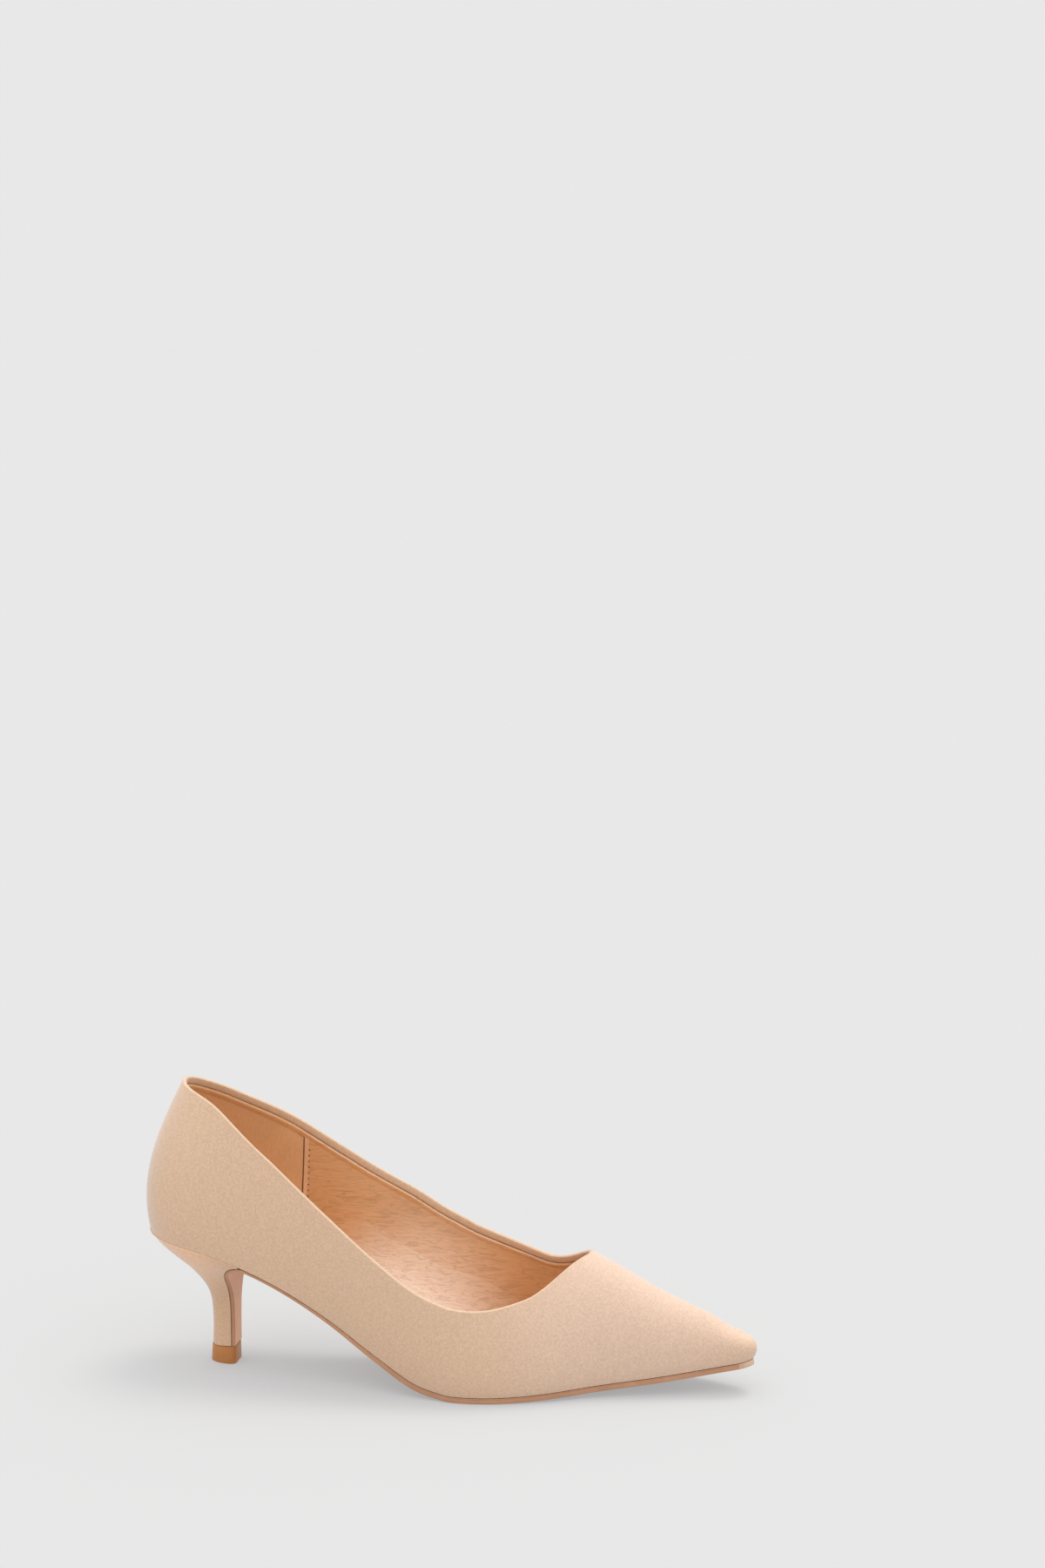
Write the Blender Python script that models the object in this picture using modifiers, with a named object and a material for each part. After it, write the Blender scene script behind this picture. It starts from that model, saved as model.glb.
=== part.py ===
"""Kitten heel pump: the right shoe of a pair, standing empty on its forefoot and heel.

All lengths are in metres. +X points to the toe, +Y to the inner side of the foot and +Z up, with z = 0 as
the floor. The shoe is drawn from the back of the heel at x = 0 and then moved so that the middle of its
length and width is the origin.

The upper is lofted over a last. Each section of the last is one curve a side, from the feather edge, where
the upper meets the sole, to the last's top. The topline cuts the sections off behind the throat, and in
front of it both sides meet in the ridge of the vamp. Sole, insole and heel take their outlines and heights
from the same feather edge.
"""
import math
from collections import namedtuple

import bmesh
import bpy
from mathutils import Vector

# Driving sizes of the last and the opening
SHOE_LENGTH = 0.248
BALL_WIDTH = 0.065
HEEL_WIDTH = 0.0493
HEEL_ROUND = 0.022
COLLAR_ROUND = 0.055
TOE_ROUND = 0.006
HEEL_HEIGHT = 0.0542
TOE_SPRING = 0.0114
CONE_HEIGHT = 0.084
VAMP_HEIGHT = 0.046
BACK_HEIGHT = 0.062
BACK_LEAN = 0.0215
TOE_RAKE = 0.0055
THROAT = 0.182
THROAT_ROUND = 0.022

# Thicknesses and clearances
WALL = 0.002
SOLE_EDGE = 0.0023
WAIST_EDGE = 0.0011
FLAP = 0.0014
SOLE_BEVEL = 0.0004
INSOLE = 0.002
FIT_GAP = 0.0003

# The flat spot of the forefoot, as distances from the back
TREAD_START = 0.130
TREAD_END = 0.148

# Where the widths and the sole's edge go over from the heel's to the ball's, where the back's lean ends and
# where the toe's rake starts, as shares of the shoe's length
WIDTH_CHANGE = (0.25, 0.60)
EDGE_CHANGE = (0.20, 0.50)
LEAN_END = 0.35
RAKE_START = 0.80

# How the toe spring grows: 1 is a straight ramp
SPRING_CURVE = 1.6

# Heel and top lift
HEEL_FRONT = 0.0340
STEM_DEPTH = 0.0087
STEM_WIDTH = 0.0110
STEM_ROUND = 0.62
BREAST_RADIUS = 0.0085
LIFT_HEIGHT = 0.0072
LIFT_FRONT = 0.0358
LIFT_DEPTH = 0.0109
LIFT_WIDTH = 0.0112
LIFT_CORNER = 0.0022
LIFT_FLARE = 0.0005

# How finely the shapes are divided
HEEL_STEPS = 8
QUARTER_STEPS = 15
THROAT_STEPS = 7
VAMP_STEPS = 9
TOE_STEPS = 6
WALL_STEPS = 14
ARC_STEPS = 12
SOLE_ARC_STEPS = 18
STEM_STEPS = 9
HEEL_SIDE_STEPS = 10
INSOLE_STEPS = 4
LIFT_STEPS = 8
CORNER_STEPS = 2
SEARCH_STEPS = 40

# Degrees: how far the heel's front may curl under the waist, and from where an edge is shaded sharp
ARC_TURN = 112
SHARP_ANGLE = 40

# Strips and steps narrower than this are left out, and points closer than this count as one
NARROWEST = 0.001
TINY = 0.000001

# One row for each section of the last. along: share of the shoe's length. outer, inner: half widths of the
# feather edge, shares of the local width. cone, vamp: the last's top above the feather edge, shares of
# CONE_HEIGHT and VAMP_HEIGHT. belly, rise: how far the curve leaves the feather edge outwards, a share of the
# local width, and upwards, a share of the section's height. crown, drop: the same at the last's top.
Section = namedtuple("Section", "along outer inner cone vamp belly rise crown drop")
SECTIONS = (
    Section(0.00, 0.468, 0.470, 0.94, 0.000, 0.147, 0.400, 0.145, 0.270),
    Section(0.10, 0.500, 0.500, 0.97, 0.000, 0.145, 0.357, 0.130, 0.265),
    Section(0.20, 0.510, 0.465, 1.01, 0.000, 0.139, 0.325, 0.180, 0.235),
    Section(0.32, 0.512, 0.365, 0.96, 0.176, 0.150, 0.300, 0.262, 0.196),
    Section(0.45, 0.535, 0.345, 0.72, 0.680, 0.142, 0.254, 0.320, 0.107),
    Section(0.56, 0.550, 0.405, 0.30, 1.200, 0.121, 0.214, 0.325, 0.048),
    Section(0.66, 0.455, 0.453, 0.00, 1.325, 0.100, 0.208, 0.295, 0.000),
    Section(0.76, 0.295, 0.397, 0.00, 1.000, 0.071, 0.228, 0.250, 0.000),
    Section(0.86, 0.198, 0.271, 0.00, 0.655, 0.058, 0.270, 0.186, 0.000),
    Section(0.94, 0.117, 0.166, 0.00, 0.423, 0.046, 0.333, 0.118, 0.000),
    Section(1.00, 0.068, 0.075, 0.00, 0.205, 0.045, 0.385, 0.112, 0.000),
)

# The feather edge between the back and the tread spot. way: share of that way. lift: share of HEEL_HEIGHT.
Arch = namedtuple("Arch", "way lift")
ARCH = (
    Arch(0.00, 1.000),
    Arch(0.19, 0.925),
    Arch(0.38, 0.773),
    Arch(0.61, 0.478),
    Arch(0.78, 0.215),
    Arch(0.90, 0.054),
    Arch(1.00, 0.000),
)

# The topline from the back to the throat. way: share of that way. outer, inner: its height above the feather
# edge, shares of BACK_HEIGHT. top: half width of the last's top, share of HEEL_WIDTH.
Topline = namedtuple("Topline", "way outer inner top")
TOPLINE = (
    Topline(0.00, 1.000, 1.000, 0.255),
    Topline(0.14, 0.955, 0.910, 0.310),
    Topline(0.28, 0.825, 0.890, 0.330),
    Topline(0.45, 0.700, 0.885, 0.350),
    Topline(0.63, 0.635, 0.905, 0.340),
    Topline(0.79, 0.575, 0.765, 0.195),
    Topline(0.92, 0.650, 0.655, 0.045),
    Topline(1.00, 0.720, 0.600, 0.000),
)

# The heel from the top lift to the seat. up: share of the height. back, side: how far its back and its sides
# have gone from the stem's outline to the seat's, as shares.
Taper = namedtuple("Taper", "up back side")
HEEL_TAPER = (
    Taper(0.00, 0.00, 0.00),
    Taper(0.30, 0.00, 0.01),
    Taper(0.45, 0.03, 0.05),
    Taper(0.55, 0.10, 0.14),
    Taper(0.65, 0.24, 0.29),
    Taper(0.75, 0.44, 0.49),
    Taper(0.85, 0.70, 0.73),
    Taper(0.93, 0.88, 0.90),
    Taper(1.00, 1.00, 1.00),
)

# Materials: colour, roughness
SUEDE = ("suede", (0.72, 0.51, 0.35), 0.95)
SOCK = ("sock", (0.64, 0.36, 0.19), 0.45)
SOLE = ("sole", (0.60, 0.32, 0.18), 0.45)
LIFT = ("lift", (0.39, 0.15, 0.06), 0.35)

OUTER, INNER = -1, 1


def smooth(rows, place, value, at):
    """Reads one column of a table at a place between its rows, along a smooth curve through them."""
    keys = [getattr(row, place) for row in rows]
    values = [getattr(row, value) for row in rows]
    last = len(keys) - 1
    at = min(max(at, keys[0]), keys[last])
    low = max(i for i in range(last) if keys[i] <= at)
    step = keys[low + 1] - keys[low]

    def chord(i):
        return (values[i + 1] - values[i]) / (keys[i + 1] - keys[i])

    def slope(i):
        if i in (0, last):
            return chord(min(i, last - 1))
        before, after = keys[i] - keys[i - 1], keys[i + 1] - keys[i]
        return (chord(i - 1) * after + chord(i) * before) / (before + after)

    t = (at - keys[low]) / step
    start = values[low] * (2 * t**3 - 3 * t**2 + 1) + slope(low) * step * (t**3 - 2 * t**2 + t)
    end = values[low + 1] * (3 * t**2 - 2 * t**3) + slope(low + 1) * step * (t**3 - t**2)
    return start + end


def ease(share):
    """A smooth step from 0 to 1."""
    share = min(max(share, 0.0), 1.0)
    return share * share * (3 - 2 * share)


def quarter_round(share):
    """The half width of a round end, for a share of its length: 0 at the tip and 1 where it ends."""
    return math.sqrt(max(0.0, 1 - (1 - min(max(share, 0.0), 1.0)) ** 2))


# The feather edge


def change(along, span):
    """How far a change over a span of the length has gone."""
    start, end = span
    return ease((along - start) / (end - start))


def local_width(along):
    return HEEL_WIDTH + (BALL_WIDTH - HEEL_WIDTH) * change(along, WIDTH_CHANGE)


def feather_height(x):
    """Height of the feather edge over the floor: down the arch, flat at the tread, up the toe spring."""
    height = SOLE_EDGE + FIT_GAP
    if x < TREAD_START:
        return height + HEEL_HEIGHT * smooth(ARCH, "way", "lift", x / TREAD_START)
    toe = (x - TREAD_END) / (SHOE_LENGTH - TREAD_END)
    return height + TOE_SPRING * max(toe, 0.0) ** SPRING_CURVE


def half_width(along, side):
    """Half width of the feather edge on one side, rounded at the heel and the toe."""
    x = along * SHOE_LENGTH
    share = smooth(SECTIONS, "along", "outer" if side == OUTER else "inner", along)
    ends = quarter_round(x / HEEL_ROUND) * quarter_round((SHOE_LENGTH - x) / TOE_ROUND)
    return share * local_width(along) * ends


def feather(along, side):
    x = along * SHOE_LENGTH
    return Vector((x, side * half_width(along, side), feather_height(x)))


# The last's surface


def wall_curve(along, side):
    """The four control points of one side of a section."""
    x = along * SHOE_LENGTH
    at_toe = 1 - min((SHOE_LENGTH - x) / TOE_ROUND, 1.0)

    def outwards(heel_round):
        forward = at_toe - (1 - min(x / heel_round, 1.0))
        return Vector((forward, side * math.sqrt(max(0.0, 1 - forward**2)), 0.0))

    width = local_width(along)

    def share(column):
        return smooth(SECTIONS, "along", column, along)

    height = CONE_HEIGHT * share("cone") + VAMP_HEIGHT * share("vamp")
    edge = feather(along, side)
    to_back = 1 - min(along / LEAN_END, 1.0)
    to_tip = max((along - RAKE_START) / (1 - RAKE_START), 0.0)
    lean = BACK_LEAN * to_back**2 - TOE_RAKE * to_tip**2
    narrow = HEEL_WIDTH * smooth(TOPLINE, "way", "top", x / THROAT) * quarter_round(x / COLLAR_ROUND)
    top = Vector((x + lean, side * narrow, edge.z + height))
    low = edge + outwards(HEEL_ROUND) * width * share("belly") + Vector((0, 0, height * share("rise")))
    high = top + outwards(COLLAR_ROUND) * width * share("crown") - Vector((0, 0, height * share("drop")))
    return edge, low, high, top


def along_curve(curve, t):
    edge, low, high, top = curve
    return (1 - t) ** 3 * edge + 3 * (1 - t) ** 2 * t * low + 3 * (1 - t) * t**2 * high + t**3 * top


def topline_share(along, side):
    """How far up its section's curve the topline runs: found by height, and 1 in front of the throat."""
    x = along * SHOE_LENGTH
    if x > THROAT - TINY:
        return 1.0
    target = BACK_HEIGHT * smooth(TOPLINE, "way", "outer" if side == OUTER else "inner", x / THROAT)
    curve = wall_curve(along, side)
    low, high = 0.0, 1.0
    for _ in range(SEARCH_STEPS):
        middle = (low + high) / 2
        if along_curve(curve, middle).z - curve[0].z < target:
            low = middle
        else:
            high = middle
    return 1 - (1 - low) * quarter_round((THROAT - x) / THROAT_ROUND)


def stations():
    """Shares of the length at which the shoe is divided, closer together where the outline turns."""
    round_end = HEEL_ROUND / SHOE_LENGTH
    throat_start = (THROAT - THROAT_ROUND) / SHOE_LENGTH
    throat = THROAT / SHOE_LENGTH
    toe_start = 1 - TOE_ROUND / SHOE_LENGTH
    found = [round_end * (1 - math.cos(math.pi / 2 * i / HEEL_STEPS)) for i in range(HEEL_STEPS)]
    found += [round_end + (throat_start - round_end) * i / QUARTER_STEPS for i in range(QUARTER_STEPS)]
    arc = throat - throat_start
    found += [throat_start + arc * math.sin(math.pi / 2 * i / THROAT_STEPS) for i in range(THROAT_STEPS)]
    found += [throat + (toe_start - throat) * i / VAMP_STEPS for i in range(VAMP_STEPS)]
    found += [toe_start + (1 - toe_start) * math.sin(math.pi / 2 * i / TOE_STEPS) for i in range(TOE_STEPS + 1)]
    return found


# Making meshes


def material(look):
    name, colour, roughness = look
    made = bpy.data.materials.new(name)
    made.use_nodes = True
    shader = made.node_tree.nodes["Principled BSDF"]
    shader.inputs["Base Color"].default_value = (*colour, 1)
    shader.inputs["Roughness"].default_value = roughness
    made.diffuse_color = (*colour, 1)
    return made


def add_object(name, bm, look, collection):
    mesh = bpy.data.meshes.new(name)
    bm.to_mesh(mesh)
    bm.free()
    mesh.shade_smooth()
    mesh.set_sharp_from_angle(angle=math.radians(SHARP_ANGLE))
    obj = bpy.data.objects.new(name, mesh)
    obj.data.materials.append(material(look))
    collection.objects.link(obj)
    return obj


def solidify(obj, thickness, way):
    """Thickens an open surface: way is 1 towards the front of its faces and -1 towards their back."""
    shell = obj.modifiers.new("thickness", "SOLIDIFY")
    shell.thickness = thickness
    shell.offset = way
    shell.use_even_offset = True
    shell.use_quality_normals = True


def loft(bm, rings):
    """Joins closed rings of points into one body and caps its ends with strips between their two sides."""
    rows = [[bm.verts.new(point) for point in ring] for ring in rings]
    count = len(rows[0])
    for first, second in zip(rows, rows[1:]):
        for i in range(count):
            after = (i + 1) % count
            bm.faces.new((first[i], first[after], second[after], second[i]))
    for row in (rows[0], rows[-1]):
        for i in range(count // 2 - 1):
            bm.faces.new((row[i], row[i + 1], row[count - 2 - i], row[count - 1 - i]))
    bmesh.ops.recalc_face_normals(bm, faces=bm.faces)


def make_upper(collection):
    bm = bmesh.new()
    places = stations()
    grids = {}
    for side in (OUTER, INNER):
        grid = []
        for along in places:
            curve = wall_curve(along, side)
            top = topline_share(along, side)
            grid.append([bm.verts.new(along_curve(curve, top * j / WALL_STEPS)) for j in range(WALL_STEPS + 1)])
        grids[side] = grid
        for i in range(len(places) - 1):
            for j in range(WALL_STEPS):
                corners = (grid[i][j], grid[i + 1][j], grid[i + 1][j + 1], grid[i][j + 1])
                bm.faces.new(corners if side == OUTER else corners[::-1])
    ridge = [i for i, along in enumerate(places) if along * SHOE_LENGTH > THROAT - TINY]
    shared = [(0, j) for j in range(WALL_STEPS + 1)] + [(i, WALL_STEPS) for i in ridge]
    shared += [(len(places) - 1, j) for j in range(WALL_STEPS)]
    merged = {grids[INNER][i][j]: grids[OUTER][i][j] for i, j in shared}
    bmesh.ops.weld_verts(bm, targetmap=merged)
    upper = add_object("upper", bm, SUEDE, collection)
    solidify(upper, WALL, -1)
    return upper


def plan_outline(side, inset):
    """The feather edge in plan, moved inwards by inset, at every station but the two on the centre line."""
    places = stations()
    points = []
    for i in range(1, len(places) - 1):
        before, after = feather(places[i - 1], side), feather(places[i + 1], side)
        run = (after - before).to_2d().normalized()
        inwards = Vector((side * run.y, -side * run.x))
        points.append(feather(places[i], side).to_2d() + inwards * inset)
    return points


def make_insole(collection):
    """A strip across the shoe's inside, resting where the feather edge is."""
    bm = bmesh.new()
    inset = WALL + FIT_GAP
    rows = []
    for left, right in zip(plan_outline(OUTER, inset), plan_outline(INNER, inset)):
        if left.y > right.y - NARROWEST:
            continue
        across = [left.lerp(right, i / INSOLE_STEPS) for i in range(INSOLE_STEPS + 1)]
        rows.append([bm.verts.new((p.x, p.y, feather_height(p.x))) for p in across])
    for first, second in zip(rows, rows[1:]):
        for i in range(len(first) - 1):
            bm.faces.new((first[i], second[i], second[i + 1], first[i + 1]))
    insole = add_object("insole", bm, SOCK, collection)
    solidify(insole, INSOLE, 1)
    return insole


# Heel, breast and outsole


def feather_normal(x):
    """The upward direction square to the feather edge, seen from the side."""
    step = 0.0005
    rise = feather_height(x + step) - feather_height(x - step)
    return Vector((-rise, 0, 2 * step)).normalized()


def breast_centre():
    """Centre of the arc that joins the heel's front to the waist: x is where the arc touches the waist."""
    low, high = HEEL_FRONT, TREAD_START
    for _ in range(SEARCH_STEPS):
        x = (low + high) / 2
        centre = Vector((x, 0, feather_height(x))) - feather_normal(x) * BREAST_RADIUS
        if centre.x < HEEL_FRONT + BREAST_RADIUS:
            low = x
        else:
            high = x
    return centre, x


def seat_height(x):
    return feather_height(x) - FIT_GAP


def heel_base():
    return LIFT_HEIGHT + FIT_GAP


def breast_points():
    """Points up the heel's front: the straight stem, then the arc until it meets the seat."""
    centre, _ = breast_centre()
    base = heel_base()
    points = [Vector((HEEL_FRONT, 0, base + (centre.z - base) * i / STEM_STEPS)) for i in range(STEM_STEPS)]
    for i in range(ARC_STEPS + 1):
        turn = math.pi - math.radians(ARC_TURN) * i / ARC_STEPS
        point = centre + BREAST_RADIUS * Vector((math.cos(turn), 0, math.sin(turn)))
        if point.z > seat_height(point.x) - FIT_GAP:
            break
        points.append(point)
    return points


def heel_rise(point):
    """Share of the way from the top lift to the seat, at a point of the heel's front."""
    return (point.z - heel_base()) / (seat_height(point.x) - heel_base())


def stem_half(share):
    """Half width of the stem's outline, for a share of its depth: round at the back."""
    return STEM_WIDTH / 2 * quarter_round(share / STEM_ROUND)


def heel_ring(front, rise):
    """One ring of the heel: up one side from the back to the front, and back down the other."""
    back = smooth(HEEL_TAPER, "up", "back", rise)
    side_share = smooth(HEEL_TAPER, "up", "side", rise)
    start = (HEEL_FRONT - STEM_DEPTH) * (1 - back)
    ring = {OUTER: [], INNER: []}
    for side in (OUTER, INNER):
        for i in range(1, HEEL_SIDE_STEPS + 1):
            share = 1 - math.cos(math.pi / 2 * i / HEEL_SIDE_STEPS)
            x = start + (front.x - start) * share
            seat = half_width(front.x * share / SHOE_LENGTH, side)
            half = stem_half(share) * (1 - side_share) + seat * side_share
            height = heel_base() + rise * (seat_height(x) - heel_base())
            ring[side].append(Vector((x, side * half, height)))
    return ring[OUTER] + ring[INNER][::-1]


def make_heel(collection):
    bm = bmesh.new()
    points = breast_points()
    rings = [heel_ring(point, heel_rise(point)) for point in points]
    tip = points[-1]
    rings.append(heel_ring(tip, 1.0))
    loft(bm, rings)
    return add_object("heel", bm, SUEDE, collection)


def sole_stations():
    """Down the path of the outsole's upper face, from the toe to the foot of the breast: point, normal, halves."""
    centre, touch = breast_centre()
    found = []
    for along in reversed(stations()[:-1]):
        x = along * SHOE_LENGTH
        if x <= touch:
            break
        normal = feather_normal(x)
        found.append((Vector((x, 0, seat_height(x))), normal, half_width(along, OUTER), half_width(along, INNER)))
    radius = BREAST_RADIUS - FIT_GAP
    first = math.atan2(feather_normal(touch).z, feather_normal(touch).x)
    for i in range(SOLE_ARC_STEPS + 1):
        turn = first + (math.pi - first) * i / SOLE_ARC_STEPS
        normal = Vector((math.cos(turn), 0, math.sin(turn)))
        found.append((centre + normal * radius, normal, *breast_halves(centre + normal * BREAST_RADIUS)))
    for point in reversed(breast_points()):
        if point.z > centre.z - NARROWEST:
            continue
        found.append((point + Vector((FIT_GAP, 0, 0)), Vector((-1, 0, 0)), *breast_halves(point)))
    return found


def breast_halves(point):
    """Half widths of the heel's front, or of the feather edge in front of it, at a height."""
    rise = heel_rise(point)
    if rise >= 1:
        along = point.x / SHOE_LENGTH
        return half_width(along, OUTER), half_width(along, INNER)
    ring = heel_ring(point, rise)
    return -ring[HEEL_SIDE_STEPS - 1].y, ring[HEEL_SIDE_STEPS].y


def sole_thickness(point, normal):
    """The edge's thickness, which goes over to the flap's where the sole turns down the breast."""
    edge = WAIST_EDGE + (SOLE_EDGE - WAIST_EDGE) * change(point.x / SHOE_LENGTH, EDGE_CHANGE)
    if point.x > TREAD_START:
        return edge
    return edge + (FLAP - edge) * ease(-normal.x)


def make_outsole(collection):
    bm = bmesh.new()
    rings = []
    for point, normal, outer, inner in sole_stations():
        down = -normal * sole_thickness(point, normal)
        bevel = SOLE_BEVEL * Vector((0, 1, 0))
        above = normal * SOLE_BEVEL
        left, right = Vector((0, -outer, 0)), Vector((0, inner, 0))
        rings.append([
            point + left,
            point + left + down + above,
            point + left + down + bevel,
            point + right + down - bevel,
            point + right + down + above,
            point + right,
        ])
    loft(bm, rings)
    return add_object("outsole", bm, SOLE, collection)


def lift_ring(height, grow):
    """Outline of the top lift: round at the back, straight across the front with rounded corners."""
    depth, half = LIFT_DEPTH + grow, LIFT_WIDTH / 2 + grow
    back = LIFT_FRONT - depth
    sides = {OUTER: [], INNER: []}
    for side in (OUTER, INNER):
        for i in range(1, LIFT_STEPS + 1):
            turn = math.pi / 2 * i / LIFT_STEPS
            x = back + (depth - LIFT_CORNER) * (1 - math.cos(turn))
            sides[side].append(Vector((x, side * half * math.sin(turn), height)))
        for i in range(1, CORNER_STEPS + 1):
            turn = math.pi / 2 * i / CORNER_STEPS
            x = LIFT_FRONT - LIFT_CORNER * (1 - math.sin(turn))
            sides[side].append(Vector((x, side * (half - LIFT_CORNER * (1 - math.cos(turn))), height)))
    return sides[OUTER] + sides[INNER][::-1]


def make_top_lift(collection):
    bm = bmesh.new()
    loft(bm, [lift_ring(0, LIFT_FLARE), lift_ring(LIFT_HEIGHT, 0)])
    return add_object("top_lift", bm, LIFT, collection)


def centre_pieces(pieces):
    """Moves the shoe so that the origin is under the middle of its box."""
    bpy.context.view_layer.update()
    graph = bpy.context.evaluated_depsgraph_get()
    corners = [Vector(corner) for piece in pieces for corner in piece.evaluated_get(graph).bound_box]
    for axis in (0, 1):
        low, high = min(c[axis] for c in corners), max(c[axis] for c in corners)
        for piece in pieces:
            piece.location[axis] -= (low + high) / 2


def main():
    for obj in list(bpy.data.objects):
        bpy.data.objects.remove(obj)
    collection = bpy.data.collections.new("kitten_heel_pump")
    bpy.context.scene.collection.children.link(collection)
    pieces = [
        make_upper(collection),
        make_insole(collection),
        make_outsole(collection),
        make_heel(collection),
        make_top_lift(collection),
    ]
    centre_pieces(pieces)


main()
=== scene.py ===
"""The kitten heel pump's looks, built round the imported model.

Lengths are in metres. The shoe is drawn from the back of the heel at x = 0, as its solids were, and each
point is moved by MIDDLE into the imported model's frame. The rows and sizes of the last repeat the solids', so
each piece keeps its solid's form.
"""

import math
from collections import namedtuple

import bmesh
import bpy
from mathutils import Matrix, Vector


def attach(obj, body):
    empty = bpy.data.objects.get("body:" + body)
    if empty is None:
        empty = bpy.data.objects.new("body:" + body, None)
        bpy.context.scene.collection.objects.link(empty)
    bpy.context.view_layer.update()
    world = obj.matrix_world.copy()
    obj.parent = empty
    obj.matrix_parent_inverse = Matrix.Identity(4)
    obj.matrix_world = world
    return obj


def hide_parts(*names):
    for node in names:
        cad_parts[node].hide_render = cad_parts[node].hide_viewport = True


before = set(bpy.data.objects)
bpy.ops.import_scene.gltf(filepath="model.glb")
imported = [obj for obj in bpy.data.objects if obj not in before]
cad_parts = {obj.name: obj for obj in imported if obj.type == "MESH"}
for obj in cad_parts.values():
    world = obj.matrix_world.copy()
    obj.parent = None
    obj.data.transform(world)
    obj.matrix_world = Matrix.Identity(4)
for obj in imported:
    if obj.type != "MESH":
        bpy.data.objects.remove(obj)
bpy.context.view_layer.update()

# Driving sizes of the last and the opening
SHOE_LENGTH = 0.248
BALL_WIDTH = 0.065
HEEL_WIDTH = 0.0493
HEEL_ROUND = 0.022
COLLAR_ROUND = 0.055
TOE_ROUND = 0.006
HEEL_HEIGHT = 0.0542
TOE_SPRING = 0.0114
CONE_HEIGHT = 0.084
VAMP_HEIGHT = 0.046
BACK_HEIGHT = 0.062
BACK_LEAN = 0.0215
TOE_RAKE = 0.0055
THROAT = 0.182
THROAT_ROUND = 0.022

# Thicknesses and clearances, in metres as all sizes are
WALL = 0.002
SOLE_EDGE = 0.0023
WAIST_EDGE = 0.0011
FLAP = 0.0014
SOLE_BEVEL = 0.0004
INSOLE = 0.002
FIT_GAP = 0.0003

# The flat spot of the forefoot, as distances from the back
TREAD_START = 0.130
TREAD_END = 0.148

# Where the widths and the sole's edge go over from the heel's to the ball's, where the back's lean ends and
# where the toe's rake starts, as shares of the shoe's length
WIDTH_CHANGE = (0.25, 0.60)
EDGE_CHANGE = (0.20, 0.50)
LEAN_END = 0.35
RAKE_START = 0.80

# How the toe spring grows: 1 is a straight ramp
SPRING_CURVE = 1.6

# Heel and top lift
HEEL_FRONT = 0.0340
STEM_DEPTH = 0.0087
STEM_WIDTH = 0.0110
STEM_ROUND = 0.62
BREAST_RADIUS = 0.0085
LIFT_HEIGHT = 0.0072
LIFT_FRONT = 0.0358
LIFT_DEPTH = 0.0109
LIFT_WIDTH = 0.0112
LIFT_CORNER = 0.0022
LIFT_FLARE = 0.0005

# One row for each section of the last. along: share of the shoe's length. outer, inner: half widths of the
# feather edge, shares of the local width. cone, vamp: the last's top above the feather edge, shares of
# CONE_HEIGHT and VAMP_HEIGHT. belly, rise: how far the curve leaves the feather edge outwards, a share of the
# local width, and upwards, a share of the section's height. crown, drop: the same at the last's top.
Section = namedtuple("Section", "along outer inner cone vamp belly rise crown drop")
SECTIONS = (
    Section(0.00, 0.468, 0.470, 0.94, 0.000, 0.147, 0.400, 0.145, 0.270),
    Section(0.10, 0.500, 0.500, 0.97, 0.000, 0.145, 0.357, 0.130, 0.265),
    Section(0.20, 0.510, 0.465, 1.01, 0.000, 0.139, 0.325, 0.180, 0.235),
    Section(0.32, 0.512, 0.365, 0.96, 0.176, 0.150, 0.300, 0.262, 0.196),
    Section(0.45, 0.535, 0.345, 0.72, 0.680, 0.142, 0.254, 0.320, 0.107),
    Section(0.56, 0.550, 0.405, 0.30, 1.200, 0.121, 0.214, 0.325, 0.048),
    Section(0.66, 0.455, 0.453, 0.00, 1.325, 0.100, 0.208, 0.295, 0.000),
    Section(0.76, 0.295, 0.397, 0.00, 1.000, 0.071, 0.228, 0.250, 0.000),
    Section(0.86, 0.198, 0.271, 0.00, 0.655, 0.058, 0.270, 0.186, 0.000),
    Section(0.94, 0.117, 0.166, 0.00, 0.423, 0.046, 0.333, 0.118, 0.000),
    Section(1.00, 0.068, 0.075, 0.00, 0.205, 0.045, 0.385, 0.112, 0.000),
)

# The feather edge between the back and the tread spot. way: share of that way. lift: share of HEEL_HEIGHT.
Arch = namedtuple("Arch", "way lift")
ARCH = (
    Arch(0.00, 1.000),
    Arch(0.19, 0.925),
    Arch(0.38, 0.773),
    Arch(0.61, 0.478),
    Arch(0.78, 0.215),
    Arch(0.90, 0.054),
    Arch(1.00, 0.000),
)

# The topline from the back to the throat. way: share of that way. outer, inner: its height above the feather
# edge, shares of BACK_HEIGHT. top: half width of the last's top, share of HEEL_WIDTH.
Topline = namedtuple("Topline", "way outer inner top")
TOPLINE = (
    Topline(0.00, 1.000, 1.000, 0.255),
    Topline(0.14, 0.955, 0.910, 0.310),
    Topline(0.28, 0.825, 0.890, 0.330),
    Topline(0.45, 0.700, 0.885, 0.350),
    Topline(0.63, 0.635, 0.905, 0.340),
    Topline(0.79, 0.575, 0.765, 0.195),
    Topline(0.92, 0.650, 0.655, 0.045),
    Topline(1.00, 0.720, 0.600, 0.000),
)

# The heel from the top lift to the seat. up: share of the height. back, side: how far its back and its sides
# have gone from the stem's outline to the seat's, as shares.
Taper = namedtuple("Taper", "up back side")
HEEL_TAPER = (
    Taper(0.00, 0.00, 0.00),
    Taper(0.30, 0.00, 0.01),
    Taper(0.45, 0.03, 0.05),
    Taper(0.55, 0.10, 0.14),
    Taper(0.65, 0.24, 0.29),
    Taper(0.75, 0.44, 0.49),
    Taper(0.85, 0.70, 0.73),
    Taper(0.93, 0.88, 0.90),
    Taper(1.00, 1.00, 1.00),
)

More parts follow.
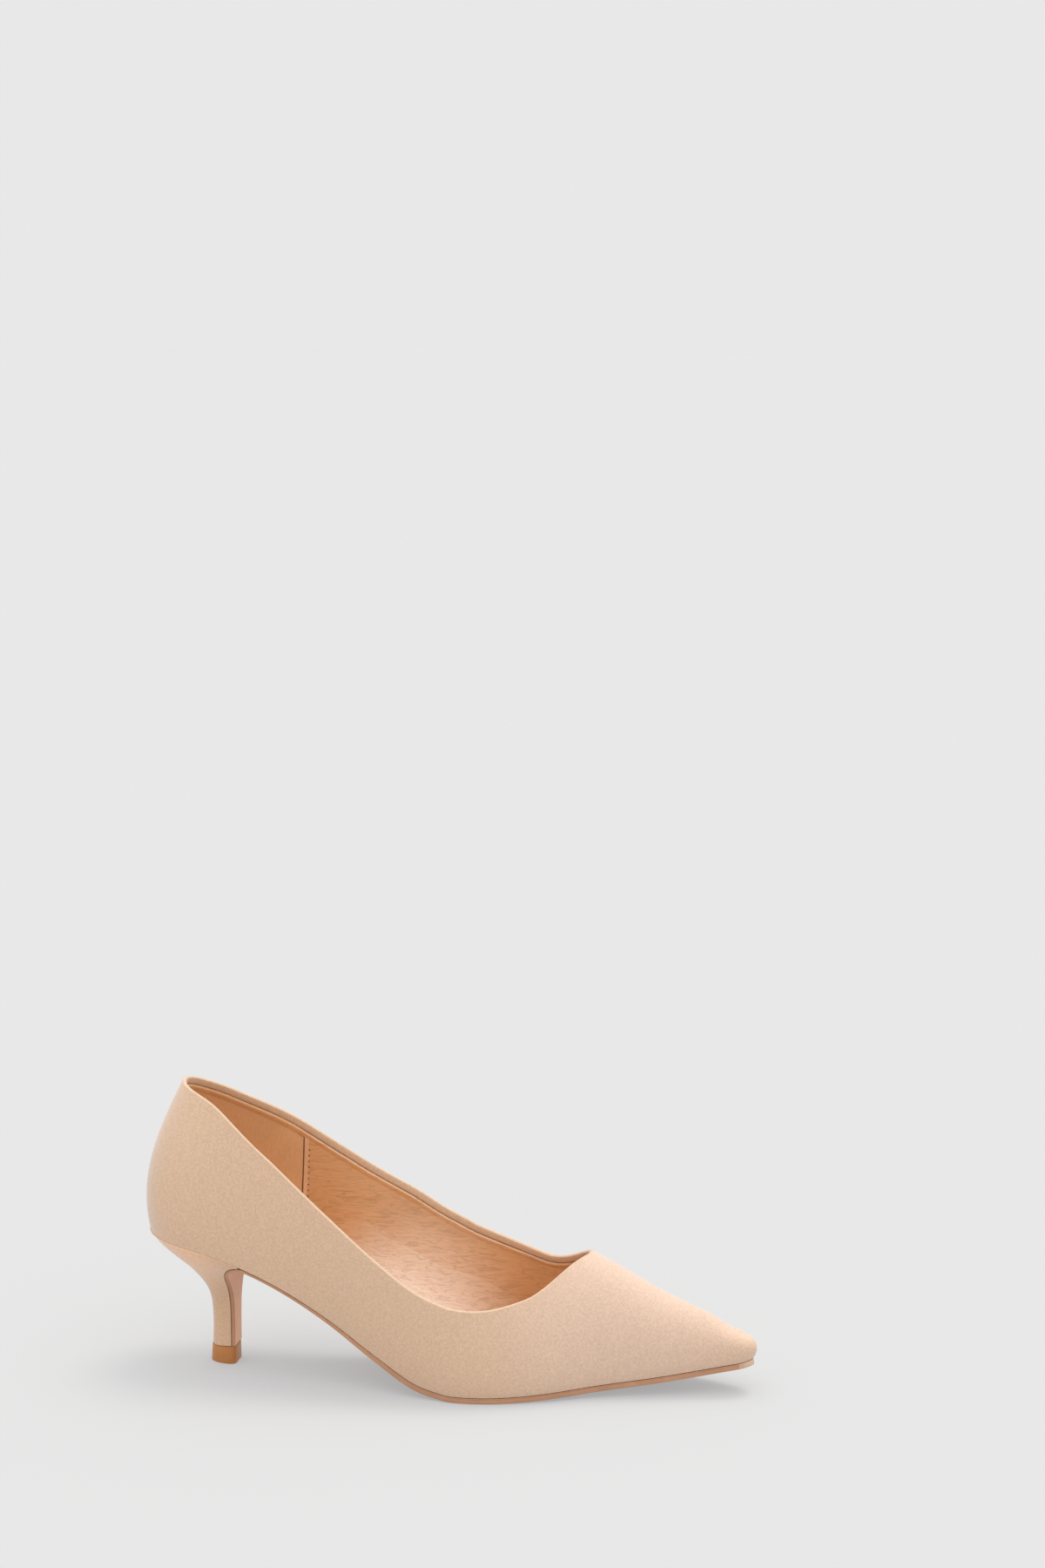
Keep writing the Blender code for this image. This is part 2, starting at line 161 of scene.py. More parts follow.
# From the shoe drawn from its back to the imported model's frame
MIDDLE = Vector((-0.12402, 0.00345, 0.0))

# The wall's layers, in metres. HAIR keeps two faces apart that would otherwise share a place.
COVER = 0.0012
FRONT_FACE = WALL - 0.0001
QUARTER_FACE = WALL - 0.0002
HAIR = 0.00005
JUST_INSIDE = 0.00002

# The cover's edge turned over the topline, as (inwards, below the topline). FOLD_OVER and FOLD_END count
# inwards from the lining's face, and FOLD_END counts downwards from FOLD_DEPTH.
EDGE_ROUND = 0.0008
FOLD_DEPTH = 0.0031
FOLD_OUTSIDE = ((0.0003, 0.0011), (0.00002, 0.00085))
FOLD_OVER = ((-0.0005, 0.00002), (-0.00015, 0.00018), (0.0, 0.0005))
FOLD_END = ((0.0, -0.0004), (-0.00015, -0.0001), (-0.0005, 0.0), (-0.0009, 0.0))

# The lining's puffed edge under the fold: its first points, as (inwards from the lining's face, below its
# start), how far down it is full, how far it sinks in and how deep its hidden foot lies
LINING_EDGE = 0.0052
LINING_PUFF = 0.0006
PUFF_TOP = ((-0.0007, 0.0), (-0.0001, 0.0), (0.00015, 0.00006), (LINING_PUFF * 0.75, 0.00025))
PUFF_GAP = 0.0002
PUFF_FULL = 0.0006
PUFF_LAP = 0.0010
PUFF_SINK = 0.0001
PUFF_FOOT = 0.0006

# The front lining's seam, a share of the shoe's length, and in metres its raised strip, the low swell ahead
# of the strip and how far the quarter's lining runs under it
LINING_SEAM = 0.231
SEAM_STRIP = 0.0017
SEAM_RAISE = 0.0005
STRIP_RISE = 0.0003
STRIP_FALL = 0.0006
SWELL = SEAM_RAISE / 4
SWELL_RISE = 0.0015
SWELL_FALL = 0.006
SEAM_LAP = 0.003

# A dark strip painted as the shadow in the gap behind the seam: its corners, as (ahead of the seam, inwards
# from the wall), the share of the section's curve where it starts and how far past the stitches it ends
SEAM_GAP = ((-0.0005, -0.0004), (0.0002, -0.0004), (0.0002, -0.00008), (-0.0005, -0.00008))
GAP_LOW = 0.04
GAP_ABOVE = 0.02

# The stitches: half sizes, distances from the strip, from the lining's edge and from one to the next, how far
# down the section's curve they go, and how far up it the way they point is read
STITCH = (0.00028, 0.00045, 0.00012)
STITCH_AHEAD = 0.0006
STITCH_BELOW = 0.0020
STITCH_STEP = 0.0024
STITCH_LOW = 0.06
STITCH_AIM = 0.01

# The sock's hollow at the walls: its largest size, also as a share of the width, and on the inner side the
# padding under the arch, whose places along the shoe are where it starts, is full, falls off and ends
SOCK_COVE = 0.013
COVE_WIDTH = 0.22
SOCK_LIFT = 0.0002
SOCK_NARROWEST = 0.0015
ARCH_PAD = (0.22, 0.36, 0.50, 0.66)
PAD_RISE = 0.028
PAD_RUN = 0.022

# How far up a section's curve the sock's rim is looked for
RIM_HIGHEST = 0.6

# The cover's rolled rim under the upper: share of the heel's height, and how far it stands out
SEAT_BEAD = ((0.986, 0.0), (0.992, 0.00018), (0.998, 0.00028), (1.003, 0.00018), (1.005, -0.00010))

# The arc of the heel's breast, in degrees from the stem, how far the sole's straight rows keep from it, and
# the slope from which the sole counts as the flap
BREAST_TURN = 112
ARC_CLEAR = 0.0005
FLAP_SLOPE = -0.25

# The sole's edge: how far its top is broken, its largest bevel as a share of the thickness, where the bevel
# bends as a share of it, the drawn line's start, deepest place and end as shares of the thickness, its depth,
# and the rough toe's length
TOP_BREAK = 0.00008
BEVEL_SHARE = 0.35
BEVEL_BEND = 0.3
DRAWN_LINE = (0.16, 0.20, 0.25)
LINE_DEPTH = 0.00013
ROUGH_TIP = 0.006

# The top lift's broken edges: (height, how far it draws in)
LIFT_EDGES = (
    (0.0, 0.0003),
    (0.00012, 0.0001),
    (0.0003, 0.0),
    (LIFT_HEIGHT - 0.0002, 0.0),
    (LIFT_HEIGHT, 0.00012),
)

# How finely the pieces are divided. STATION_STEPS: round the back, along the side, at the throat, along the
# vamp and round the toe.
STATION_STEPS = (18, 62, 20, 34, 12)
UPPER_STEPS = 34
LINING_STEPS = 26
SEAM_STEPS = 36
SEAM_STEP = 0.0002
ROUND_STEPS = 8
GAP_STEPS = 40
STITCH_SEARCH = 0.002
COVE_STEPS = 9
SOCK_STEPS = 18
STEM_STEPS = 36
BREAST_STEPS = 24
HEEL_SIDE_STEPS = 30
SOLE_ARC_STEPS = 40
SOLE_STEPS = 16
LIFT_STEPS = 24
CORNER_STEPS = 6

# The topline's points: how many are tried, how far apart they are and how near the last comes to the first
LOOP_TRIES = 240
LOOP_STEP = 0.0007
LOOP_CLOSE = 0.0005

# How often each search halves its range
TOPLINE_TRIES = 30
RIM_TRIES = 24
BREAST_TRIES = 40

# How near counts as being there: to the throat, to a place beside it, and exactly
AT_THROAT = 1e-4
SAME = 1e-6
TINY = 1e-9

SIDES = (-1, 1)
OUTER, INNER = SIDES


def smooth(rows, place, value, at):
    """Reads one column of a table at a place between its rows, along a smooth curve through them."""
    keys = [getattr(row, place) for row in rows]
    values = [getattr(row, value) for row in rows]
    last = len(keys) - 1
    at = min(max(at, keys[0]), keys[last])
    low = max(i for i in range(last) if keys[i] <= at)
    step = keys[low + 1] - keys[low]

    def chord(i):
        return (values[i + 1] - values[i]) / (keys[i + 1] - keys[i])

    def slope(i):
        if i in (0, last):
            return chord(min(i, last - 1))
        before, after = keys[i] - keys[i - 1], keys[i + 1] - keys[i]
        return (chord(i - 1) * after + chord(i) * before) / (before + after)

    t = (at - keys[low]) / step
    start = values[low] * (2 * t**3 - 3 * t**2 + 1) + slope(low) * step * (t**3 - 2 * t**2 + t)
    end = values[low + 1] * (3 * t**2 - 2 * t**3) + slope(low + 1) * step * (t**3 - t**2)
    return start + end


def ease(share):
    share = min(max(share, 0.0), 1.0)
    return share * share * (3 - 2 * share)


def quarter_round(share):
    return math.sqrt(max(0.0, 1 - (1 - min(max(share, 0.0), 1.0)) ** 2))


def search(low, high, tries, is_below):
    """The place between two at which is_below turns false."""
    for _ in range(tries):
        middle = (low + high) / 2
        if is_below(middle):
            low = middle
        else:
            high = middle
    return low


def change(along, span):
    start, end = span
    return ease((along - start) / (end - start))


def local_width(along):
    return HEEL_WIDTH + (BALL_WIDTH - HEEL_WIDTH) * change(along, WIDTH_CHANGE)


def feather_height(x):
    height = SOLE_EDGE + FIT_GAP
    if x < TREAD_START:
        return height + HEEL_HEIGHT * smooth(ARCH, "way", "lift", x / TREAD_START)
    toe = (x - TREAD_END) / (SHOE_LENGTH - TREAD_END)
    return height + TOE_SPRING * max(toe, 0.0) ** SPRING_CURVE


def half_width(along, side):
    x = along * SHOE_LENGTH
    share = smooth(SECTIONS, "along", "outer" if side == OUTER else "inner", along)
    ends = quarter_round(x / HEEL_ROUND) * quarter_round((SHOE_LENGTH - x) / TOE_ROUND)
    return share * local_width(along) * ends


def feather(along, side):
    x = along * SHOE_LENGTH
    return Vector((x, side * half_width(along, side), feather_height(x)))


def wall_curve(along, side):
    """The four control points of one side of a section, from the feather edge to the last's top."""
    x = along * SHOE_LENGTH
    at_toe = 1 - min((SHOE_LENGTH - x) / TOE_ROUND, 1.0)

    def outwards(heel_round):
        forward = at_toe - (1 - min(x / heel_round, 1.0))
        return Vector((forward, side * math.sqrt(max(0.0, 1 - forward**2)), 0.0))

    width = local_width(along)

    def share(column):
        return smooth(SECTIONS, "along", column, along)

    height = CONE_HEIGHT * share("cone") + VAMP_HEIGHT * share("vamp")
    edge = feather(along, side)
    to_back = 1 - min(along / LEAN_END, 1.0)
    to_tip = max((along - RAKE_START) / (1 - RAKE_START), 0.0)
    lean = BACK_LEAN * to_back**2 - TOE_RAKE * to_tip**2
    narrow = HEEL_WIDTH * smooth(TOPLINE, "way", "top", x / THROAT) * quarter_round(x / COLLAR_ROUND)
    top = Vector((x + lean, side * narrow, edge.z + height))
    low = edge + outwards(HEEL_ROUND) * width * share("belly") + Vector((0, 0, height * share("rise")))
    high = top + outwards(COLLAR_ROUND) * width * share("crown") - Vector((0, 0, height * share("drop")))
    return edge, low, high, top


def along_curve(curve, t):
    edge, low, high, top = curve
    return (1 - t) ** 3 * edge + 3 * (1 - t) ** 2 * t * low + 3 * (1 - t) * t**2 * high + t**3 * top


def topline_share(along, side):
    """How far up its section's curve the topline runs: 1 in front of the throat."""
    way = along * SHOE_LENGTH / THROAT
    if way > 1 - AT_THROAT:
        return 1.0
    target = BACK_HEIGHT * smooth(TOPLINE, "way", "outer" if side == OUTER else "inner", way)
    curve = wall_curve(along, side)
    share = search(0.0, 1.0, TOPLINE_TRIES, lambda t: along_curve(curve, t).z - curve[0].z < target)
    to_throat = (THROAT - along * SHOE_LENGTH) / THROAT_ROUND
    return 1 - (1 - share) * quarter_round(to_throat)


# The last's surface by two numbers: along, and across, which is -1 at the outer feather edge, 0 at the last's
# top and 1 at the inner feather edge


def on_last(along, across, side):
    return along_curve(wall_curve(min(max(along, 0.0), 1.0), side), min(max(1 - abs(across), 0.0), 1.0))


def slopes(along, across, side):
    """The surface's two directions at a point, per unit of along and of across."""
    step = 2e-4
    back, front = max(along - step, 0.0), min(along + step, 1.0)
    by_along = (on_last(front, across, side) - on_last(back, across, side)) / (front - back)
    low, high = max(abs(across) - step, 0.0), min(abs(across) + step, 1.0)
    by_across = (on_last(along, high, side) - on_last(along, low, side)) / (high - low)
    return by_along, by_across * side


def outward(along, across, side):
    by_along, by_across = slopes(along, across, side)
    return by_along.cross(by_across).normalized()


def inwards(along, across, side, depth):
    """The point at a depth under the last's surface."""
    return on_last(along, across, side) - outward(along, across, side) * depth


# The topline as a loop, and the surface beside it


def topline_loop():
    """Points of the topline as (along, across, side): forward on the outer side, back on the inner one."""
    throat = THROAT / SHOE_LENGTH
    coarse = [throat * (0.5 - 0.5 * math.cos(math.pi * i / LOOP_TRIES)) for i in range(LOOP_TRIES + 1)]
    loop = []
    for along in coarse:
        loop.append((along, -(1 - topline_share(along, OUTER)), OUTER))
    for along in reversed(coarse[1:-1]):
        loop.append((along, 1 - topline_share(along, INNER), INNER))
    points = [on_last(*place) for place in loop]
    kept = [0]
    for i in range(1, len(loop)):
        if (points[i] - points[kept[-1]]).length > LOOP_STEP:
            kept.append(i)
    if (points[kept[-1]] - points[0]).length < LOOP_CLOSE:
        kept.pop()
    return [loop[i] for i in kept]


def beside(loop):
    """For each point of the loop: along, across, side, and how fast the first two change below the edge."""
    points = [on_last(*place) for place in loop]
    count = len(loop)
    found = []
    for i, (along, across, side) in enumerate(loop):
        tangent = (points[(i + 1) % count] - points[i - 1]).normalized()
        normal = outward(along, across, side)
        away = tangent.cross(normal).normalized()
        by_along, by_across = slopes(along, across, side)
        aa, ab, bb = by_along.dot(by_along), by_along.dot(by_across), by_across.dot(by_across)
        pa, pb = away.dot(by_along), away.dot(by_across)
        det = aa * bb - ab * ab
        found.append((along, across, side, (pa * bb - pb * ab) / det, (pb * aa - pa * ab) / det))
    return found


def below_edge(place, distance):
    along, across, side, by_along, by_across = place
    moved = across + by_across * distance
    if moved * side < 0:
        moved = 0.0
    return min(max(along + by_along * distance, 0.0), 1.0), moved, side


def edges_of_opening(places, distance):
    """The opening's edge at a distance below the topline: for each side, pairs of (along, share)."""
    found = {OUTER: [], INNER: []}
    for place in places:
        along, across, its_side = below_edge(place, distance)
        for side in found:
            if its_side == side or abs(across) < SAME:
                found[side].append((along, 1 - abs(across)))
    return {side: sorted(pairs) for side, pairs in found.items()}


def read_edge(pairs, along):
    if along >= pairs[-1][0]:
        return 1.0
    for (a, first), (b, second) in zip(pairs, pairs[1:]):
        if a <= along <= b:
            return first if b - a < TINY else first + (second - first) * (along - a) / (b - a)
    return pairs[0][1]


# Making meshes


def finish_mesh(name, bm, looks, stands_for=(), sharp=None):
    """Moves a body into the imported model's frame, dresses it and rides it on the shoe. Its edges look sharp
    from an angle in degrees."""
    mesh = bpy.data.meshes.new(name)
    bm.to_mesh(mesh)
    bm.free()
    mesh.transform(Matrix.Translation(MIDDLE))
    mesh.shade_smooth()
    if sharp is not None:
        mesh.set_sharp_from_angle(angle=math.radians(sharp))
    obj = bpy.data.objects.new(name, mesh)
    for look in looks if isinstance(looks, (list, tuple)) else [looks]:
        mesh.materials.append(look)
    bpy.context.scene.collection.objects.link(obj)
    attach(obj, "root")
    if stands_for:
        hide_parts(*stands_for)


def lasted_grid(places, edges, steps):
    """The last's surface as one welded mesh, cut off at the edge of the opening, with each vertex's
    (along, share)."""
    bm = bmesh.new()
    where = {}
    grids = {}
    for side in SIDES:
        grid = []
        for along in places:
            curve = wall_curve(along, side)
            top = read_edge(edges[side], along)
            row = []
            for j in range(steps + 1):
                t = top * j / steps
                vert = bm.verts.new(along_curve(curve, t))
                where[vert] = (along, t)
                row.append(vert)
            grid.append(row)
        grids[side] = grid
        for i in range(len(places) - 1):
            for j in range(steps):
                corners = (grid[i][j], grid[i + 1][j], grid[i + 1][j + 1], grid[i][j + 1])
                bm.faces.new(corners if side == OUTER else corners[::-1])
    throat = max(pair[0] for pair in edges[OUTER])
    merged = {}
    for i, along in enumerate(places):
        for j in range(steps + 1):
            on_ridge = along > throat - TINY and j == steps
            at_back = along < TINY
            at_toe = along > 1 - TINY
            if on_ridge or at_back or at_toe:
                merged[grids[INNER][i][j]] = grids[OUTER][i][j]
    bmesh.ops.weld_verts(bm, targetmap=merged)
    where = {vert: place for vert, place in where.items() if vert.is_valid}
    bm.normal_update()
    return bm, where


def shell(bm, where, outside, inside, look_at=lambda along: 0):
    """A closed body between two depths under an open surface. Depths are functions of (along, share), and
    look_at gives the number of a face's look from its place along the shoe."""
    body = bmesh.new()
    copies = []
    for depth in (outside, inside):
        copies.append({v: body.verts.new(v.co - v.normal * depth(*where[v])) for v in bm.verts})
    for face in bm.faces:
        look = look_at(max(where[v][0] for v in face.verts))
        body.faces.new([copies[0][v] for v in face.verts])
        body.faces.new([copies[1][v] for v in reversed(face.verts)]).material_index = look
    for edge in bm.edges:
        if edge.is_boundary:
            a, b = edge.verts
            loop = edge.link_loops[0]
            first, second = (a, b) if loop.vert == a else (b, a)
            body.faces.new([copies[0][second], copies[0][first], copies[1][first], copies[1][second]])
    bm.free()
    body.normal_update()
    return body


def stations(throat, extra=(), first=0.0, last=1.0):
    """Shares of the length at which a piece is divided, closer together where the outline turns."""
    round_end = HEEL_ROUND / SHOE_LENGTH
    throat_start = throat - THROAT_ROUND / SHOE_LENGTH
    toe_start = 1 - TOE_ROUND / SHOE_LENGTH
    back, flank, curve, vamp, toe = STATION_STEPS
    found = [round_end * (1 - math.cos(math.pi / 2 * i / back)) for i in range(back)]
    found += [round_end + (throat_start - round_end) * i / flank for i in range(flank)]
    bend = throat - throat_start
    found += [throat_start + bend * math.sin(math.pi / 2 * i / curve) for i in range(curve)]
    found += [throat + (toe_start - throat) * i / vamp for i in range(vamp)]
    found += [toe_start + (1 - toe_start) * math.sin(math.pi / 2 * i / toe) for i in range(toe + 1)]
    found += list(extra)
    found = sorted(along for along in found if first <= along <= last)
    kept = []
    for along in found:
        if not kept or along - kept[-1] > SAME:
            kept.append(along)
    return kept


def edging(name, places, profile, look, back=None):
    """A closed profile of (inwards, below the topline) points, swept round the topline. It has another look
    behind a place along the shoe, where back gives both."""
    bm = bmesh.new()
    looks = [look] if back is None else [look, back[1]]
    rings = []
    for place in places:
        ring = []
        for depth, below in profile:
            ring.append(bm.verts.new(inwards(*below_edge(place, below), depth)))
        rings.append(ring)
    count = len(profile)
    for i, ring in enumerate(rings):
        after = rings[(i + 1) % len(rings)]
        for j in range(count):
            k = (j + 1) % count
            face = bm.faces.new((ring[j], after[j], after[k], ring[k]))
            if back is not None and places[i][0] < back[0]:
                face.material_index = 1
    bmesh.ops.recalc_face_normals(bm, faces=bm.faces)
    finish_mesh(name, bm, looks)


# Materials


def feed(tree, node, inputs):
    """Sets a node's inputs to values, or links them to other nodes' outputs."""
    for name, value in inputs.items():
        if isinstance(value, bpy.types.NodeSocket):
            tree.links.new(value, node.inputs[name])
        else:
            node.inputs[name].default_value = value


def add_node(tree, kind, inputs, **settings):
    """The outputs of a new node."""
    node = tree.nodes.new("ShaderNode" + kind)
    for name, value in settings.items():
        setattr(node, name, value)
    feed(tree, node, inputs)
    return node.outputs


class Look:
    """A material under way: its nodes, with short calls for the few kinds used here."""

    def __init__(self, name, colour, roughness, specular=0.5):
        self.made = bpy.data.materials.new(name)
        self.made.use_nodes = True
        self.made.diffuse_color = (*colour, 1)
        self.tree = self.made.node_tree
        self.give({"Base Color": (*colour, 1), "Roughness": roughness, "Specular IOR Level": specular})
        self.place = self.add("TexCoord", {})["Object"]

    def give(self, inputs):
        feed(self.tree, self.tree.nodes["Principled BSDF"], inputs)

    def add(self, kind, inputs, **settings):
        return add_node(self.tree, kind, inputs, **settings)

    def stretched(self, x, y, z):
        return self.add("Mapping", {"Scale": (x, y, z), "Vector": self.place})["Vector"]

    def noise(self, scale, detail=3.0, roughness=0.55, vector=None, distortion=0.0):
        inputs = {"Scale": scale, "Detail": detail, "Roughness": roughness, "Distortion": distortion}
        return self.add("TexNoise", {**inputs, "Vector": vector or self.place})["Fac"]

    def ramp(self, value, low, high, first, second):
        """Colour first where the value is low and second where it is high."""
        node = self.tree.nodes.new("ShaderNodeValToRGB")
        for element, position, colour in zip(node.color_ramp.elements, (low, high), (first, second)):
            element.position = position
            element.color = (*colour, 1)
        feed(self.tree, node, {"Fac": value})
        return node.outputs["Color"]

    def times(self, first, second):
        inputs = {"Factor": 1.0, "A": first, "B": second}
        return self.add("Mix", inputs, data_type="RGBA", blend_type="MULTIPLY")["Result"]

    def near(self, centre, inner, outer):
        """1 within one distance of a point, and 0 beyond another."""
        away = self.add("VectorMath", {0: self.place, 1: centre}, operation="DISTANCE")["Value"]
        inputs = {"From Min": outer, "From Max": inner, "Value": away}
        return self.add("MapRange", inputs, interpolation_type="SMOOTHSTEP")["Result"]

    def blend(self, share, first, second):
        """The colour first, going over to the plain colour second as the share grows."""
        return self.add("Mix", {"Factor": share, "A": first, "B": (*second, 1)}, data_type="RGBA")["Result"]

    def colour(self, value):
        self.give({"Base Color": value})

    def roughness(self, value, low, high):
        spread = self.add("MapRange", {"To Min": low, "To Max": high, "Value": value})
        self.give({"Roughness": spread["Result"]})

    def bump(self, *layers):
        """Layers of (value, height in metres, strength)."""
        before = {}
        for value, height, strength in layers:
            inputs = {"Distance": height, "Strength": strength, "Height": value}
            before = {"Normal": self.add("Bump", {**inputs, **before})["Normal"]}
        self.give(before)

    def gloss(self, weight, roughness, ior):
        self.give({"Coat Weight": weight, "Coat Roughness": roughness, "Coat IOR": ior})

    def sheen(self, weight, roughness, tint):
        self.give({"Sheen Weight": weight, "Sheen Roughness": roughness, "Sheen Tint": (*tint, 1)})


def suede(name, yellower, pinker, painted_light=None):
    """Fine short nap: soft patches some millimetres wide under a grain of a few tenths of one. Where
    painted_light is given, as (centre, full within, gone beyond, colour), the nap is painted paler there, as
    light falling on it."""
    look = Look(name, yellower, 0.93, 0.18)
    patches = look.ramp(look.noise(75, 4, 0.6), 0.34, 0.66, yellower, pinker)
    # Painted light: the patches go over to a paler colour about a given place
    if painted_light:
        centre, inner, outer, tone = painted_light
        patches = look.blend(look.near(centre, inner, outer), patches, tone)
    flecks = look.noise(950, 2, 0.55)
    mottle = look.ramp(flecks, 0.34, 0.66, (0.915, 0.905, 0.89), (1.02, 1.02, 1.02))
    nap = look.noise(2300, 3, 0.7)
    grain = look.ramp(nap, 0.28, 0.74, (0.86, 0.85, 0.835), (1.07, 1.07, 1.07))
    look.colour(look.times(look.times(patches, mottle), grain))
    look.bump((flecks, 0.00025, 0.17), (nap, 0.00012, 0.40))
    look.sheen(0.60, 0.42, (0.84, 0.94, 1.0))
    return look.made


# Painted light on the lining low at the arch, where the overhead light falls: a paler place, in the imported
# model's frame, full within one distance and gone beyond another
LINING_LIGHT_SPOT = (-0.016, 0.022, 0.022)
LINING_LIGHT_FULL, LINING_LIGHT_REACH = 0.004, 0.047
LINING_LIGHT_TONE = (0.950, 0.700, 0.510)


def smooth_lining(name, darker, lighter, gloss):
    """Smooth leather-look lining with fine wrinkles drawn out along the shoe, stronger in some places. It is
    painted paler low at the arch, as light falling there.
    """
    look = Look(name, lighter, 0.4, 0.85)
    drawn = look.stretched(0.22, 1.0, 1.0)
    wrinkles = look.noise(600, 3, 0.6, drawn, 1.1)
    grain = look.noise(1500, 3, 0.6, look.stretched(0.5, 1.0, 1.0))
    patches = look.ramp(look.noise(45, 3, 0.55), 0.35, 0.65, darker, lighter)
    # Painted light: paler about LINING_LIGHT_SPOT, where the overhead light falls low at the arch
    patches = look.blend(look.near(LINING_LIGHT_SPOT, LINING_LIGHT_FULL, LINING_LIGHT_REACH), patches, LINING_LIGHT_TONE)
    lines = look.ramp(wrinkles, 0.34, 0.52, (0.82, 0.78, 0.73), (1.0, 1.0, 1.0))
    look.colour(look.times(patches, lines))
    look.roughness(look.noise(300, 2, 0.5), 0.34, 0.48)
    look.bump((look.noise(130, 2, 0.5, drawn), 0.0005, 0.12), (wrinkles, 0.0004, 0.75), (grain, 0.0001, 0.2))
    look.gloss(gloss, 0.40, 1.9)
    return look.made


def brushed_lining(name, darker, lighter):
    """The quarter's matt lining, with its nap brushed up and down."""
    look = Look(name, lighter, 0.85, 0.2)
    drawn = look.stretched(1.0, 1.0, 0.3)
    fibres = look.noise(1500, 4, 0.7, drawn)
    patches = look.ramp(look.noise(60, 3, 0.6), 0.35, 0.65, darker, lighter)
    look.colour(look.times(patches, look.ramp(fibres, 0.25, 0.75, (0.87, 0.86, 0.84), (1.05, 1.05, 1.05))))
    look.bump((fibres, 0.00015, 0.45))
    look.sheen(0.1, 0.5, (1.0, 0.85, 0.7))
    return look.made


def moulded(name, darker, lighter, roughness, grain=0.15, specular=0.45):
    """Smooth sole material with a faint fine grain."""
    look = Look(name, lighter, roughness, specular)
    streaks = look.noise(500, 3, 0.6, look.stretched(0.25, 1.0, 1.0))
    patches = look.ramp(look.noise(90, 3, 0.55), 0.35, 0.65, darker, lighter)
    look.colour(look.times(patches, look.ramp(streaks, 0.3, 0.7, (0.94, 0.935, 0.93), (1.02, 1.02, 1.02))))
    look.roughness(look.noise(420, 2, 0.5), roughness - 0.05, roughness + 0.07)
    look.bump((streaks, 0.0001, grain))
    return look.made


# Painted light, where the nap is drawn paler, in the imported model's frame: on the vamp's top, which faces
# the overhead light, and under the seat at the heel's side, where the floor's light falls
VAMP_PAINTED_LIGHT = ((0.075, 0.0, 0.030), 0.020, 0.078, (0.755, 0.538, 0.408))
SEAT_PAINTED_LIGHT = ((-0.110, -0.015, 0.050), 0.008, 0.030, (0.960, 0.608, 0.395))

COVER_LOOK = suede("upper_suede", (0.745, 0.520, 0.352), (0.760, 0.517, 0.362), VAMP_PAINTED_LIGHT)
# The heel's suede is a little darker than the upper's: painted shade on the stem
HEEL_LOOK = suede("heel_suede", (0.735, 0.490, 0.315), (0.758, 0.492, 0.328), SEAT_PAINTED_LIGHT)
# The folded edge's suede is a little darker than the upper's: painted shade that tones down its lit rim
FOLD_LOOK = suede("edge_suede", (0.715, 0.500, 0.330), (0.735, 0.505, 0.340))
QUARTER_LOOK = brushed_lining("quarter_lining", (0.720, 0.410, 0.195), (0.780, 0.450, 0.220))
# Both linings carry the painted light low at the arch
VAMP_LOOK = smooth_lining("vamp_lining", (0.650, 0.330, 0.130), (0.710, 0.370, 0.155), 0.50)
SOCK_LOOK = smooth_lining("sock_lining", (0.650, 0.330, 0.130), (0.710, 0.370, 0.155), 0.50)
STRIP_LOOK = brushed_lining("seam_strip", (0.760, 0.450, 0.250), (0.830, 0.510, 0.300))
SOLE_LOOK = moulded("sole_tan", (0.500, 0.250, 0.135), (0.560, 0.290, 0.160), 0.42)
# The flap is the sole's material drawn much paler: painted light where it faces the front
PAINTED_LIGHT_FLAP_LOOK = moulded("breast_tan_painted_light", (0.880, 0.480, 0.280), (0.920, 0.510, 0.300), 0.45, specular=0.4)
EDGE_LOOK = moulded("breast_edge", (0.500, 0.250, 0.130), (0.560, 0.290, 0.155), 0.55)
TIP_LOOK = moulded("sole_tip", (0.560, 0.330, 0.200), (0.760, 0.540, 0.380), 0.50, 1.0)
LIFT_LOOK = moulded("lift_tan", (0.480, 0.182, 0.046), (0.530, 0.210, 0.056), 0.34, 0.25)
# Brown for the stitches, also used for the seam's painted shadow strip
STITCH_AND_SHADOW_LOOK = moulded("stitch_and_shadow_brown", (0.150, 0.065, 0.025), (0.190, 0.085, 0.035), 0.7)


# The upper: cover, folded edge and linings


def constant(value):
    return lambda along, share: value


def make_upper(places):
    edges = edges_of_opening(places, EDGE_ROUND)
    throat = edges[OUTER][-1][0]
    bm, where = lasted_grid(stations(throat), edges, UPPER_STEPS)
    body = shell(bm, where, constant(0.0), constant(COVER))
    finish_mesh("upper_cover", body, COVER_LOOK, ["upper"], sharp=50)
    profile = list(FOLD_OUTSIDE)
    for i in range(ROUND_STEPS + 1):
        turn = math.pi / 2 * i / ROUND_STEPS
        profile.append((EDGE_ROUND * (1 - math.cos(turn)), EDGE_ROUND * (1 - math.sin(turn))))
    profile += [(QUARTER_FACE + depth, below) for depth, below in FOLD_OVER]
    profile += [(QUARTER_FACE + depth, FOLD_DEPTH + below) for depth, below in FOLD_END]
    edging("topline_fold", places, profile, FOLD_LOOK)


def seam_raise(along):
    """How much the front lining stands proud near its seam: the folded strip, then a low swell."""
    ahead = (along - LINING_SEAM) * SHOE_LENGTH
    beyond = ahead - SEAM_STRIP
    strip = SEAM_RAISE * ease(ahead / STRIP_RISE) * (1 - ease(beyond / STRIP_FALL))
    return strip + SWELL * ease(beyond / SWELL_RISE) * (1 - ease(beyond / SWELL_FALL))


